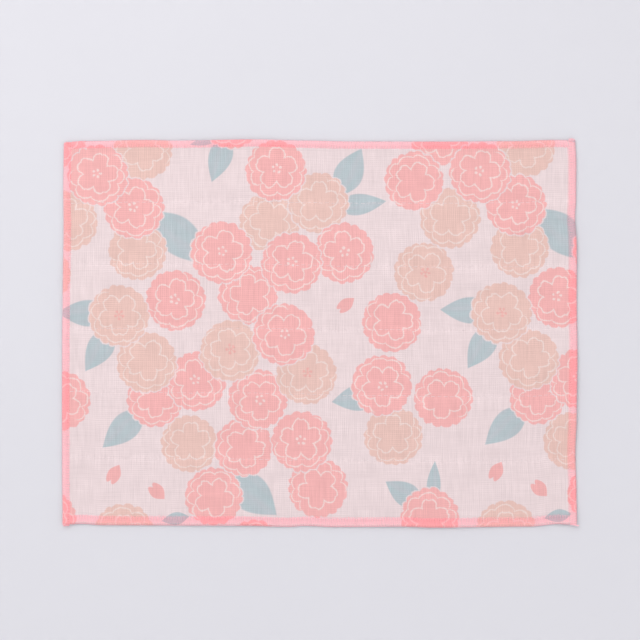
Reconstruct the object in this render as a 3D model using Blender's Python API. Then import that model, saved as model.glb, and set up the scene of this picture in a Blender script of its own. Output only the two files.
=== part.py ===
"""A dish cloth spread out flat: a stack of open gauze layers sewn together in five rows,
with an overlocked thread edging run along each of its four sides.

Metres, +Z up. The width runs along X and the depth along Y. The origin is on the surface
that the cloth lies on, under the middle of its outline.

Every piece is first placed on a true rectangle, the cut. laid() then moves a point of the cut
to where it lies, so that the panel and the edging share one uneven outline and one set of lifts.
"""

import math

import bmesh
import bpy
import numpy as np

MM = 0.001

# The cut, and the thickness of the gauze stack.
WIDTH = 400 * MM
DEPTH = 300 * MM
PUFF_THICK = 1.6 * MM  # between two rows of stitches
ROW_THICK = 1.05 * MM  # on a row of stitches
EDGE_THICK = 0.9 * MM  # inside the edging

# The edging wraps round the edge of the stack. Touching surfaces keep a small gap.
WRAP_THICK = 0.35 * MM
OUTER_THICK = 0.6 * MM
GAP = 0.33 * MM
EDGING_THICK = EDGE_THICK + 2 * (GAP + WRAP_THICK)
EDGE_SINK = WRAP_THICK + GAP  # how far the stack's underside is held up inside the edging
ROUND_STEPS = 4

# The inner faces of the stack come down to the surface over this distance from the edging.
SETTLE = 7 * MM

# Rows of stitches: height above the middle of the cut, and how far the row drops from left to right.
STITCH_ROWS = (
    # (height_mm, drop_mm)
    (102.0, -0.6),
    (53.0, 2.0),
    (3.5, 0.2),
    (-47.5, 3.2),
    (-98.5, 1.6),
)
ROW_SPREAD = 4.5 * MM  # half width of the trough along a row

# Each side's band of thread, and how far it runs past the cut at its start and its end.
# A side starts at its left or lower end.
EDGINGS = {
    # side: (band_mm, start_past_mm, end_past_mm)
    "left": (5.2, 1.3, 0.2),
    "right": (6.2, 0.6, 1.5),
    "bottom": (6.2, 0.0, 0.0),
    "top": (5.0, 0.0, 0.0),
}
TIP_SHARE = 0.6  # size of a run's section at its very end, against its full size
TIP_STEPS = 3

# How far each edge lies outside the cut, along the side from its left or lower end.
OUTLINE = {
    # side: (share_along, out_mm), ...
    "top": ((0.0, -1.1), (0.04, -0.3), (0.16, 0.6), (0.22, 0.1), (0.38, 1.0), (0.47, 0.1),
            (0.56, -0.6), (0.75, -0.7), (0.88, -0.3), (0.96, 0.6), (1.0, 0.3)),
    "bottom": ((0.0, -1.0), (0.035, -1.7), (0.08, -0.6), (0.35, -0.3), (0.44, 0.6), (0.47, -0.1),
               (0.53, 0.8), (0.66, 0.4), (0.72, 1.2), (0.91, 0.4), (0.965, -1.6), (1.0, -0.9)),
    "left": ((0.0, 0.1), (0.16, 0.5), (0.31, 0.6), (0.47, 0.4), (0.6, 0.0), (0.78, -0.7),
             (0.87, -0.4), (1.0, -0.8)),
    "right": ((0.0, 0.3), (0.09, 0.1), (0.19, -0.8), (0.28, 0.1), (0.44, 0.8), (0.6, 0.3),
              (0.72, 0.3), (0.8, -1.0), (0.85, -0.2), (0.94, 0.0), (1.0, -0.8)),
}

# Where the cloth stands off the surface: oval lifts that die out at their rims.
LIFTS = (
    # (place, x_mm, y_mm, half_x_mm, half_y_mm, lift_mm)
    ("right edge, upper", 204, 62, 26, 48, 0.9),
    ("right edge, lower", 204, -52, 30, 66, 1.3),
    ("right foot corner", 204, -154, 30, 30, 1.5),
    ("left foot corner", -204, -154, 22, 22, 1.0),
    ("foot edge, left", -70, -154, 62, 20, 0.5),
    ("foot edge, right", 78, -154, 70, 24, 0.8),
    ("head edge, left", -62, 154, 66, 20, 0.7),
    ("head edge, right", 120, 154, 50, 18, 0.4),
    ("left edge", -204, 40, 20, 70, 0.5),
)

# Lines of points across the panel.
FIELD_STEP = 14 * MM
ROW_OFFSETS = (-9 * MM, -3.5 * MM, 0.0, 3.5 * MM, 9 * MM)


def smooth_table(table, at):
    """The table's second column at that place in its first, with no slope at the table's own places."""
    places, values = (np.array(column) for column in zip(*table))
    index = np.clip(np.searchsorted(places, at) - 1, 0, len(places) - 2)
    share = np.clip((at - places[index]) / (places[index + 1] - places[index]), 0, 1)
    share = share * share * (3 - 2 * share)
    return values[index] * (1 - share) + values[index + 1] * share


def out_of(side, share):
    """How far outside the cut that side lies, in metres."""
    return smooth_table(OUTLINE[side], np.clip(share, 0, 1)) * MM


def flat_place(x, y):
    """A point of the cut moved within the plane, so that the cut's edges follow the outline."""
    across, up = x / WIDTH + 0.5, y / DEPTH + 0.5
    shift_x = out_of("right", up) * across - out_of("left", up) * (1 - across)
    shift_y = out_of("top", across) * up - out_of("bottom", across) * (1 - up)
    return x + shift_x, y + shift_y


def lift_at(x, y):
    """Height of the cloth's underside over the surface: each lift is (1 - q)^2 inside its oval."""
    height = 0.0
    for _place, x_mm, y_mm, half_x_mm, half_y_mm, lift_mm in LIFTS:
        q = ((x / MM - x_mm) / half_x_mm) ** 2 + ((y / MM - y_mm) / half_y_mm) ** 2
        height += lift_mm * MM * max(0.0, 1 - q) ** 2
    return height


def outline_middle():
    """Middle of the box round the laid edging, which becomes the origin."""
    left_band, right_band = EDGINGS["left"], EDGINGS["right"]
    run = np.linspace(-DEPTH / 2, DEPTH / 2, 241)
    low_x = min(flat_place(-WIDTH / 2, y)[0] for y in run)
    high_x = max(flat_place(WIDTH / 2, y)[0] for y in run)
    run = np.linspace(-WIDTH / 2, WIDTH / 2, 321)
    low_y = min(flat_place(x, -DEPTH / 2)[1] for x in run)
    high_y = max(flat_place(x, DEPTH / 2)[1] for x in run)
    for side_x, band in ((-WIDTH / 2, left_band), (WIDTH / 2, right_band)):
        low_y = min(low_y, flat_place(side_x, -DEPTH / 2)[1] - band[1] * MM)
        high_y = max(high_y, flat_place(side_x, DEPTH / 2)[1] + band[2] * MM)
    return (low_x + high_x) / 2, (low_y + high_y) / 2


MIDDLE = outline_middle()


def laid(x, y, z):
    """A point of the cut, at height z in the cloth, where it lies."""
    place_x, place_y = flat_place(x, y)
    return place_x - MIDDLE[0], place_y - MIDDLE[1], z + lift_at(x, y)


def row_height(row, x):
    """Where a row of stitches runs, at that place along the width."""
    height_mm, drop_mm = row
    return (height_mm - drop_mm * x / WIDTH) * MM


def smooth_share(value, low, high):
    """0 below low and 1 above high, with a smooth S between them."""
    share = min(1.0, max(0.0, (value - low) / (high - low)))
    return share * share * (3 - 2 * share)


def inside(x, y):
    """Distance in from the nearest edge of the cut, and from that edge's band of thread."""
    distances = {
        "left": x + WIDTH / 2,
        "right": WIDTH / 2 - x,
        "bottom": y + DEPTH / 2,
        "top": DEPTH / 2 - y,
    }
    return min(distances[side] - EDGINGS[side][0] * MM for side in distances)


def panel_faces(x, y):
    """Underside and upper side of the gauze stack at a point of the cut."""
    free = smooth_share(inside(x, y), GAP, SETTLE)
    nearest_row = min(abs(y - row_height(row, x)) for row in STITCH_ROWS)
    trough = math.exp(-((nearest_row / ROW_SPREAD) ** 2))
    thick = PUFF_THICK - (PUFF_THICK - ROW_THICK) * trough
    under = EDGE_SINK * (1 - free)
    upper = (EDGE_SINK + EDGE_THICK) * (1 - free) + thick * free
    return under, upper


def lines_between(low, high, step):
    """Evenly spaced places from low to high, about step apart."""
    count = max(1, round((high - low) / step))
    return [low + (high - low) * i / count for i in range(count + 1)]


def panel_columns():
    """Places along the width: the two rims, the foot of each rim's slope, and an even spacing."""
    rim = WIDTH / 2 - OUTER_THICK - GAP
    left = WIDTH / 2 - EDGINGS["left"][0] * MM
    right = WIDTH / 2 - EDGINGS["right"][0] * MM
    field = lines_between(-left + SETTLE, right - SETTLE, FIELD_STEP)
    half = SETTLE / 2
    return [-rim, -left + GAP, -left + half, *field, right - half, right - GAP, rim]


def panel_rows():
    """Heights of the panel's lines of points at the middle of the width, with the row each one follows."""
    rim = DEPTH / 2 - OUTER_THICK - GAP
    bottom = DEPTH / 2 - EDGINGS["bottom"][0] * MM
    top = DEPTH / 2 - EDGINGS["top"][0] * MM
    half = SETTLE / 2
    lines = [(y, None) for y in (-rim, -bottom + GAP, -bottom + half, -bottom + SETTLE)]
    lines += [(y, None) for y in (top - SETTLE, top - half, top - GAP, rim)]
    for row in STITCH_ROWS:
        lines += [(row_height(row, 0) + offset, row) for offset in ROW_OFFSETS]
    heights = [row_height(row, 0) for row in STITCH_ROWS]
    lines += [((a + b) / 2, None) for a, b in zip(heights, heights[1:])]
    lines += [((heights[0] + top) / 2, None), ((heights[-1] - bottom) / 2, None)]
    return sorted(lines, key=lambda line: line[0])


def line_place(line, x):
    """A line of points keeps its distance to the row of stitches that it follows."""
    height, row = line
    if row is None:
        return height
    return height + row_height(row, x) - row_height(row, 0)


def finish_mesh(name, bm, material):
    """Turns the faces outwards, shades the mesh smooth and links it as a named object."""
    bmesh.ops.recalc_face_normals(bm, faces=bm.faces[:])
    mesh = bpy.data.meshes.new(name)
    bm.to_mesh(mesh)
    bm.free()
    mesh.shade_smooth()
    mesh.set_sharp_from_angle(angle=math.radians(50))
    mesh.materials.append(material)
    piece = bpy.data.objects.new(name, mesh)
    bpy.context.scene.collection.objects.link(piece)
    return piece


def fabric_material(name, colour, roughness):
    """A matt cloth or thread finish in one colour."""
    material = bpy.data.materials.new(name)
    material.use_nodes = True
    shader = material.node_tree.nodes["Principled BSDF"]
    shader.inputs["Base Color"].default_value = (*colour, 1.0)
    shader.inputs["Roughness"].default_value = roughness
    shader.inputs["Metallic"].default_value = 0.0
    material.diffuse_color = (*colour, 1.0)
    return material


def make_panel(material):
    """The sewn stack of gauze: an upper and a lower grid of points, closed round the rim."""
    columns, lines = panel_columns(), panel_rows()
    bm = bmesh.new()
    lower, upper = [], []
    for line in lines:
        lower_line, upper_line = [], []
        for x in columns:
            y = line_place(line, x)
            under, over = panel_faces(x, y)
            lower_line.append(bm.verts.new(laid(x, y, under)))
            upper_line.append(bm.verts.new(laid(x, y, over)))
        lower.append(lower_line)
        upper.append(upper_line)
    for grid in (lower, upper):
        for near, far in zip(grid, grid[1:]):
            for i in range(len(columns) - 1):
                bm.faces.new((near[i], near[i + 1], far[i + 1], far[i]))
    rims = (
        (lower[0], upper[0]),
        (lower[-1], upper[-1]),
        ([row[0] for row in lower], [row[0] for row in upper]),
        ([row[-1] for row in lower], [row[-1] for row in upper]),
    )
    for under_rim, over_rim in rims:
        for i in range(len(under_rim) - 1):
            bm.faces.new((under_rim[i], under_rim[i + 1], over_rim[i + 1], over_rim[i]))
    return finish_mesh("gauze_panel", bm, material)


def wrap_section(band):
    """The edging's section as (distance in from the edge, height): a C with a round back, open
    towards the panel. The second list is the slot that holds the edge of the stack."""
    half = EDGING_THICK / 2
    turns = (math.pi * i / ROUND_STEPS for i in range(ROUND_STEPS + 1))
    back = [(half * (1 - math.sin(a)), half * (1 - math.cos(a))) for a in turns]
    outer = [(band, 0.0), *back, (band, EDGING_THICK)]
    slot_low, slot_high = WRAP_THICK, EDGING_THICK - WRAP_THICK
    slot = [(band, slot_high), (OUTER_THICK, slot_high), (OUTER_THICK, slot_low), (band, slot_low)]
    return outer, slot


def on_cut(side, inward, along):
    """A point of the cut, given its distance in from a side and its place along that side."""
    return {
        "left": (-WIDTH / 2 + inward, along),
        "right": (WIDTH / 2 - inward, along),
        "bottom": (along, -DEPTH / 2 + inward),
        "top": (along, DEPTH / 2 - inward),
    }[side]


def edging_stations(side):
    """Places along a side, the same as the panel's, so that both bend at the same places."""
    if side in ("bottom", "top"):
        return panel_columns()[1:-1]
    x = on_cut(side, 0, 0)[0]
    wall = DEPTH / 2 - OUTER_THICK
    return [-wall, *(line_place(line, x) for line in panel_rows()[1:-1]), wall]


def make_edging(side, material):
    """One side's run of overlocked thread, wrapped round the edge of the stack. The left and right
    runs pass the corners and end in a solid rounded tip. The other two butt against them."""
    band_mm, start_past_mm, end_past_mm = EDGINGS[side]
    outer, slot = wrap_section(band_mm * MM)
    bm = bmesh.new()

    def ring(section, along, share=1.0):
        """One section of the run, drawn in to that share about the middle of the band."""
        middle = band_mm * MM / 2
        points = []
        for inward, height in section:
            x, y = on_cut(side, middle + (inward - middle) * share, along)
            points.append(bm.verts.new(laid(x, y, height * share)))
        return points

    def join(first, second):
        for a, b, c, d in zip(first, first[1:], second, second[1:]):
            bm.faces.new((a, b, d, c))

    stations = edging_stations(side)
    outers = [ring(outer, along) for along in stations]
    slots = [ring(slot, along) for along in stations]
    for i in range(len(stations) - 1):
        near, far = outers[i] + slots[i], outers[i + 1] + slots[i + 1]
        join(near + near[:1], far + far[:1])
    for end, way, past_mm in ((0, -1, start_past_mm), (-1, 1, end_past_mm)):
        if side in ("bottom", "top"):
            bm.faces.new(outers[end] + slots[end])
            continue
        bm.faces.new(slots[end])
        last, inner = outers[end], (slots[end][0], slots[end][-1])
        for step in range(1, TIP_STEPS + 1):
            turn = math.pi / 2 * step / TIP_STEPS
            reach = (OUTER_THICK + past_mm * MM) * math.sin(turn)
            share = 1 - (1 - TIP_SHARE) * (1 - math.cos(turn))
            tip = ring(outer, stations[end] + way * reach, share)
            join(last, tip)
            bm.faces.new((last[-1], *inner, last[0], tip[0], tip[-1]))
            last, inner = tip, ()
        bm.faces.new(last)
    return finish_mesh(f"edging_{side}", bm, material)


def main():
    for piece in list(bpy.data.objects):
        bpy.data.objects.remove(piece, do_unlink=True)
    gauze = fabric_material("printed_cotton_gauze", (0.86, 0.74, 0.74), 0.95)
    thread = fabric_material("spun_pink_thread", (0.95, 0.42, 0.46), 0.8)
    make_panel(gauze)
    for side in EDGINGS:
        make_edging(side, thread)


main()
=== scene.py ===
"""A dish cloth spread out flat: a sewn stack of printed cotton gauze with five rows of running
stitches, and an overlocked edging of pink thread along each side.

Metres, +Z up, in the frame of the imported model. Every piece is first placed on a true rectangle,
the cut, and laid() moves a point of the cut to where it lies.
"""

import functools
import math

import bpy
import numpy as np
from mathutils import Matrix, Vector


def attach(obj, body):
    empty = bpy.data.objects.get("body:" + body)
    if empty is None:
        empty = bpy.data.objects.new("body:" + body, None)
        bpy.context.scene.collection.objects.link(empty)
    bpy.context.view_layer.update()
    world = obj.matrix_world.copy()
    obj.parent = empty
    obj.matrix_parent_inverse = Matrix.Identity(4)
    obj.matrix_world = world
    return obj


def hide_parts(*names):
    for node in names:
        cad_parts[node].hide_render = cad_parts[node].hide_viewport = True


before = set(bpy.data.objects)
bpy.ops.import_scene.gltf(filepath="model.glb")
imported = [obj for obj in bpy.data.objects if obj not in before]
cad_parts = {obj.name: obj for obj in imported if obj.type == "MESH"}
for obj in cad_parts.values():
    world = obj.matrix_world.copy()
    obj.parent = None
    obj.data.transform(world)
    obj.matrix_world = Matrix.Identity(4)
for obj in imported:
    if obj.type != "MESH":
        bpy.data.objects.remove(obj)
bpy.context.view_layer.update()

MM = 0.001

# The cut and its outline, as the solids have them.
WIDTH = 400 * MM
DEPTH = 300 * MM
STITCH_ROWS = (
    # (height_mm, drop_mm)
    (102.0, -0.6),
    (53.0, 2.0),
    (3.5, 0.2),
    (-47.5, 3.2),
    (-98.5, 1.6),
)
EDGINGS = {
    # side: (band_mm, start_past_mm, end_past_mm)
    "left": (5.2, 1.3, 0.2),
    "right": (6.2, 0.6, 1.5),
    "bottom": (6.2, 0.0, 0.0),
    "top": (5.0, 0.0, 0.0),
}
OUTLINE = {
    # side: (share_along, out_mm), ...
    "top": ((0.0, -1.1), (0.04, -0.3), (0.16, 0.6), (0.22, 0.1), (0.38, 1.0), (0.47, 0.1),
            (0.56, -0.6), (0.75, -0.7), (0.88, -0.3), (0.96, 0.6), (1.0, 0.3)),
    "bottom": ((0.0, -1.0), (0.035, -1.7), (0.08, -0.6), (0.35, -0.3), (0.44, 0.6), (0.47, -0.1),
               (0.53, 0.8), (0.66, 0.4), (0.72, 1.2), (0.91, 0.4), (0.965, -1.6), (1.0, -0.9)),
    "left": ((0.0, 0.1), (0.16, 0.5), (0.31, 0.6), (0.47, 0.4), (0.6, 0.0), (0.78, -0.7),
             (0.87, -0.4), (1.0, -0.8)),
    "right": ((0.0, 0.3), (0.09, 0.1), (0.19, -0.8), (0.28, 0.1), (0.44, 0.8), (0.6, 0.3),
              (0.72, 0.3), (0.8, -1.0), (0.85, -0.2), (0.94, 0.0), (1.0, -0.8)),
}
LIFTS = (
    # (place, x_mm, y_mm, half_x_mm, half_y_mm, lift_mm)
    ("right edge, upper", 204, 62, 26, 48, 0.9),
    ("right edge, lower", 204, -52, 30, 66, 1.3),
    ("right foot corner", 204, -154, 30, 30, 1.5),
    ("left foot corner", -204, -154, 22, 22, 1.0),
    ("foot edge, left", -70, -154, 62, 20, 0.5),
    ("foot edge, right", 78, -154, 70, 24, 0.8),
    ("head edge, left", -62, 154, 66, 20, 0.7),
    ("head edge, right", 120, 154, 50, 18, 0.4),
    ("left edge", -204, 40, 20, 70, 0.5),
)

# The gauze stack, away from the edge and inside the edging.
PUFF_THICK = 1.6 * MM
ROW_THICK = 1.15 * MM
ROW_SPREAD = 5.5 * MM
CREASE_DEPTH = 0.08 * MM
CREASE_SPREAD = 0.7 * MM
SETTLE = 7 * MM
EDGE_UNDER = 0.33 * MM
EDGE_UPPER = 1.92 * MM
NECK_DEPTH = 0.08 * MM  # the dip where the needle thread draws the stack in
NECK_SPREAD = 1.3 * MM
RIM_IN = 0.35 * MM  # the stack's rim lies this far inside the thread's outer face
NOSE = 1.5 * MM  # the rim is rounded over this width
RIM_GAP = 0.02 * MM  # half the height of the narrow wall that closes the rim
CLEAR = 0.04 * MM  # keeps the underside from lying in the very plane of the floor

# How far the loopers reach past the band's line, and how unevenly.
REACH = {"left": 1.12, "right": 0.88, "bottom": 1.2, "top": 1.14}
REACH_SPREAD = 0.035

# The overlock: its threads' thickness, and one stitch of the loopers along the side. The photo is
# too coarse to show either, so both are guessed, and the threads are thicker than real ones so
# that they show.
THREAD = 0.42 * MM
THREAD_FLAT = 0.45  # its thickness against its width, as it lies pressed on the gauze
STITCH = 1.25 * MM

# The running stitches.
RUN_THREAD = 0.26 * MM
RUN_STITCH = 4.6 * MM

# The print's chart, in the millimetres of the cut. One design repeats to the right.
REPEAT = (298.0, 2.3)
FLOWERS = (
    # (kind, x_mm, y_mm, turn_deg, slip_x_mm, slip_y_mm, radius_mm), the topmost first. A petal
    # points along the turn. The slip is from the petals' middle to the back ring's.
    ("dotted", -173.5, 124.5, 2, 0.5, -1.3, 23.8),
    ("dotted", -145.2, 98.3, 0, 0.5, -0.6, 23.8),
    ("dotted", -33.5, 128.5, 17, -0.6, -1.6, 23.8),
    ("dotted", -76.0, 64.0, 5, -0.6, -0.8, 24.2),
    ("dotted", -21.5, 56.0, 1, -0.3, -1.4, 23.8),
    ("dotted", 19.5, 63.5, 27, -0.6, -0.9, 23.7),
    ("dotted", -27.0, -0.5, -13, -0.8, -0.3, 24.1),
    ("beige", -1.5, 102.5, 12, 0.7, -0.8, 23.6),
    ("beige", -38.5, 88.0, -32, -0.8, -1.4, 23.4),
    ("starred", -69.0, -12.0, 36, -0.6, -1.6, 23.8),
    ("starred", -9.5, -30.5, 12, -0.8, -1.4, 23.8),
    ("dotted", -46.5, -52.0, -15, -1.7, 0.9, 23.6),
    ("dotted", -14.5, -83.0, 19, 0.7, -1.2, 23.8),
    ("pink", -54.0, 30.0, 30, -1.7, 0.1, 23.4),
    ("starred", -156.0, 14.5, -18, -0.5, -0.7, 23.8),
    ("beige", -134.5, -21.0, -10, -0.5, -1.4, 23.6),
    ("dotted", -97.0, -36.0, 27, 0.9, -1.4, 23.2),
    ("pink", -128.0, -50.8, -17, -0.3, -0.6, 21.9),
    ("pink", -58.2, -89.0, -5, -0.9, 0.3, 22.8),
    ("pink", -82.1, -128.0, -8, -0.5, 0.9, 22.6),
    ("beige", -100.7, -84.5, 16, -0.6, -1.7, 22.5),
    ("pink", -1.0, -121.0, 45, -0.3, 0.7, 23.3),
    ("pink", 74.0, 118.0, -3, -0.5, 0.7, 23.1),
    ("pink", 94.0, 152.6, 0, -0.5, 1.2, 23.4),
    ("beige", 101.5, 91.0, 14, 0.2, -1.3, 23.6),
    ("starred", 82.5, 47.5, -12, -1.2, 0.3, 23.4),
    ("pink", 57.0, 10.0, -1, -0.8, -1.6, 23.4),
    ("dotted", 49.0, -41.0, -17, -0.6, 0.6, 23.7),
    ("pink", 96.0, -51.0, -22, 0.3, 0.8, 23.2),
    ("beige", 57.2, -79.0, 17, 0.3, -1.1, 22.9),
    ("pink", 85.7, -145.1, 19, 0.2, 2.0, 22.8),
    ("beige", -137.4, 142.2, -9, 0.0, 0.3, 23.0),
    ("beige", -142.9, 65.0, 3, 0.9, -1.0, 22.8),
    ("dotted", -113.0, 26.5, 4, 0.8, -0.8, 23.6),
    ("beige", -152.5, -157.6, 20, 0.0, 1.4, 23.8),
    ("pink", -68.6, 168.5, 10, 0.0, -1.2, 23.6),
    ("pink", -51.0, -168.5, 10, 0.0, 0.8, 22.6),
)
KINDS = {"dotted": 0.0, "pink": 1.0, "beige": 2.0, "starred": 3.0}
LEAVES = (
    # (tip_x_mm, tip_y_mm, root_x_mm, root_y_mm, half_width_mm)
    (-84.0, 118.0, -71.0, 156.0, 9.2),
    (-84.0, 54.0, -133.0, 95.0, 14.5),
    (-204.0, 16.2, -160.0, 15.2, 10.3),
    (-182.5, -29.5, -160.0, 6.0, 10.2),
    (-169.0, -89.0, -135.5, -58.5, 10.6),
    (32.8, 144.0, 13.5, 106.0, 11.2),
    (52.0, 103.0, 10.0, 98.0, 8.3),
    (9.5, -53.5, 50.0, -47.0, 10.3),
    (-33.5, -141.5, -72.0, -109.0, 14.4),
    (51.5, -115.5, 82.0, -135.0, 9.3),
    (90.0, -99.5, 88.0, -135.0, 5.4),
    (-123.0, -146.2, -101.8, -142.6, 4.9),
    (-101.0, 147.0, -76.0, 153.5, 3.6),
)
LOOSE_PETALS = (
    # (tip_x_mm, tip_y_mm, notch_x_mm, notch_y_mm, half_width_mm)
    (27.0, 27.5, 15.0, 18.0, 4.7),
    (-156.0, -102.5, -163.5, -116.0, 5.1),
    (-120.8, -129.1, -131.3, -118.6, 5.4),
)
FLOWER_RADIUS = 23.8  # the group draws a blossom of this size
FLOWER_RING = 1.1  # width of the unprinted line round it
FLOWER_LAYERS = 4
LEAF_LAYERS = 2
FAR_OFF = 900.0
BLUR = 0.4  # half the width of a printed edge, in mm
WAVER = 0.8  # how far the drawing's lines stray, in mm

# The camera: straight above, on the long lens that the photo was taken with.
VIEW_WIDTH = 498.6 * MM
VIEW_CENTRE = (0.35 * MM, 10.4 * MM)
LENS = 108.0
SENSOR = 36.0


def linear(code):
    """Turns an sRGB hex colour into linear RGBA."""
    parts = [int(code[i:i + 2], 16) / 255 for i in (1, 3, 5)]
    return (*[p / 12.92 if p <= 0.04045 else ((p + 0.055) / 1.055) ** 2.4 for p in parts], 1.0)


def smooth_table(table, at):
    """The table's second column at a place in its first, with no slope at the table's places."""
    places, values = (np.array(column) for column in zip(*table))
    index = np.clip(np.searchsorted(places, at) - 1, 0, len(places) - 2)
    share = np.clip((at - places[index]) / (places[index + 1] - places[index]), 0, 1)
    share = share * share * (3 - 2 * share)
    return values[index] * (1 - share) + values[index + 1] * share


def smooth_share(value, low, high):
    """0 below low and 1 above high, with a smooth S between them."""
    share = np.clip((value - low) / (high - low), 0, 1)
    return share * share * (3 - 2 * share)


def out_of(side, share):
    """How far outside the cut that side lies, in metres."""
    return smooth_table(OUTLINE[side], np.clip(share, 0, 1)) * MM


def flat_place(x, y):
    """A point of the cut moved within the plane, so that the cut's edges follow the outline."""
    across, up = x / WIDTH + 0.5, y / DEPTH + 0.5
    shift_x = out_of("right", up) * across - out_of("left", up) * (1 - across)
    shift_y = out_of("top", across) * up - out_of("bottom", across) * (1 - up)
    return x + shift_x, y + shift_y


def outline_middle():
    """Middle of the box round the laid edging, which is the origin."""
    run = np.linspace(-DEPTH / 2, DEPTH / 2, 241)
    low_x, high_x = flat_place(-WIDTH / 2, run)[0].min(), flat_place(WIDTH / 2, run)[0].max()
    run = np.linspace(-WIDTH / 2, WIDTH / 2, 321)
    low_y, high_y = flat_place(run, -DEPTH / 2)[1].min(), flat_place(run, DEPTH / 2)[1].max()
    for side_x, side in ((-WIDTH / 2, "left"), (WIDTH / 2, "right")):
        _band, start_past_mm, end_past_mm = EDGINGS[side]
        low_y = min(low_y, flat_place(side_x, -DEPTH / 2)[1] - start_past_mm * MM)
        high_y = max(high_y, flat_place(side_x, DEPTH / 2)[1] + end_past_mm * MM)
    return (low_x + high_x) / 2, (low_y + high_y) / 2


MIDDLE = outline_middle()


def lift_at(x, y):
    """Height of the cloth's underside over the surface: each lift is (1 - q)^2 inside its oval."""
    height = np.zeros(np.broadcast(x, y).shape)
    for _place, x_mm, y_mm, half_x_mm, half_y_mm, lift_mm in LIFTS:
        q = ((x / MM - x_mm) / half_x_mm) ** 2 + ((y / MM - y_mm) / half_y_mm) ** 2
        height = height + lift_mm * MM * np.clip(1 - q, 0, None) ** 2
    return height


def laid(x, y, z):
    """Points of the cut, at height z in the cloth, where they lie, as an array of rows."""
    place_x, place_y = flat_place(x, y)
    return np.stack((place_x - MIDDLE[0], place_y - MIDDLE[1], z + lift_at(x, y)), axis=-1)


def row_height(row, x):
    """Where a row of stitches runs, at that place along the width."""
    height_mm, drop_mm = row
    return (height_mm - drop_mm * x / WIDTH) * MM


def inside(x, y):
    """Distance in from the nearest band of thread, negative under the band."""
    distances = {
        "left": x + WIDTH / 2,
        "right": WIDTH / 2 - x,
        "bottom": y + DEPTH / 2,
        "top": DEPTH / 2 - y,
    }
    nearest = [distances[side] - EDGINGS[side][0] * MM for side in distances]
    return np.minimum.reduce(np.broadcast_arrays(*nearest))


# The slow swells of the gauze between its rows, and the short puckers that the stitches draw.
SWELLS = (
    # (wave_x_mm, wave_y_mm, start, height_mm)
    (96.0, 41.0, 0.3, 0.07),
    (-61.0, 33.0, 1.9, 0.06),
    (38.0, -57.0, 4.1, 0.05),
    (23.0, 29.0, 2.6, 0.03),
)
PUCKERS = (
    # (wave_x_mm, wave_y_mm, start, height_mm)
    (9.3, 70.0, 0.4, 0.06),
    (6.7, -41.0, 2.2, 0.05),
    (14.9, 23.0, 5.0, 0.06),
)
PUCKER_SPREAD = 6 * MM


def waves(table, x, y):
    """Sum of sines: height times sin of (x over its wave plus y over its wave, in turns)."""
    total = np.zeros(np.broadcast(x, y).shape)
    for wave_x_mm, wave_y_mm, start, height_mm in table:
        turns = x / (wave_x_mm * MM) + y / (wave_y_mm * MM)
        total = total + height_mm * MM * np.sin(2 * math.pi * turns + start)
    return total


def nearest_row(x, y):
    """Distance to the nearest row of stitches."""
    return np.minimum.reduce([np.abs(y - row_height(row, x)) for row in STITCH_ROWS])


def panel_faces(x, y):
    """Underside and upper side of the gauze stack at points of the cut.

    The upper side is the puff's thickness less a bell-shaped trough and a narrow crease on each
    row, plus swells and puckers. Both faces ease into the raised, flattened edge of the stack.
    """
    from_band = inside(x, y)
    free = smooth_share(from_band, 0.0, SETTLE)
    row = nearest_row(x, y)
    trough = np.exp(-((row / ROW_SPREAD) ** 2))
    crease = CREASE_DEPTH * np.exp(-((row / CREASE_SPREAD) ** 2))
    near = np.exp(-((row / PUCKER_SPREAD) ** 2))
    relief = waves(SWELLS, x, y) * (1 - trough) + waves(PUCKERS, x, y) * near
    thick = PUFF_THICK - (PUFF_THICK - ROW_THICK) * trough - crease + relief
    neck = NECK_DEPTH * np.exp(-((from_band / NECK_SPREAD) ** 2))
    under = EDGE_UNDER * (1 - free) + (CLEAR + 0.3 * crease) * free
    upper = EDGE_UPPER * (1 - free) + thick * free - neck
    return under, upper


def spaced(low, high, step):
    """Evenly spaced places from low to high, about step apart."""
    return np.linspace(low, high, max(1, round((high - low) / step)) + 1)


RIM_STEPS = (0.0, 0.25 * MM, 0.8 * MM, 1.6 * MM, 2.6 * MM, 3.6 * MM)
NEAR_BAND = (-1.0 * MM, -0.3 * MM, 0.4 * MM, 1.2 * MM, 2.2 * MM, 3.6 * MM, 5.2 * MM, 7.0 * MM)
NEAR_ROW = (0.5 * MM, 1.1 * MM, 1.9 * MM, 3.1 * MM, 4.6 * MM, 6.4 * MM)
FIELD_STEP = 2.1 * MM


def edge_lines(half, low_band, high_band):
    """Lines of points close to the two ends of a direction: at the rims and beside the bands."""
    rim = half - RIM_IN
    low = [-rim + step for step in RIM_STEPS] + [-half + low_band + step for step in NEAR_BAND]
    high = [rim - step for step in RIM_STEPS] + [half - high_band - step for step in NEAR_BAND]
    return sorted(low), sorted(high)


def panel_columns():
    """Places of the panel's columns of points along the width."""
    low, high = edge_lines(WIDTH / 2, EDGINGS["left"][0] * MM, EDGINGS["right"][0] * MM)
    return np.array(low + list(spaced(low[-1], high[0], FIELD_STEP)[1:-1]) + high)


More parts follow.
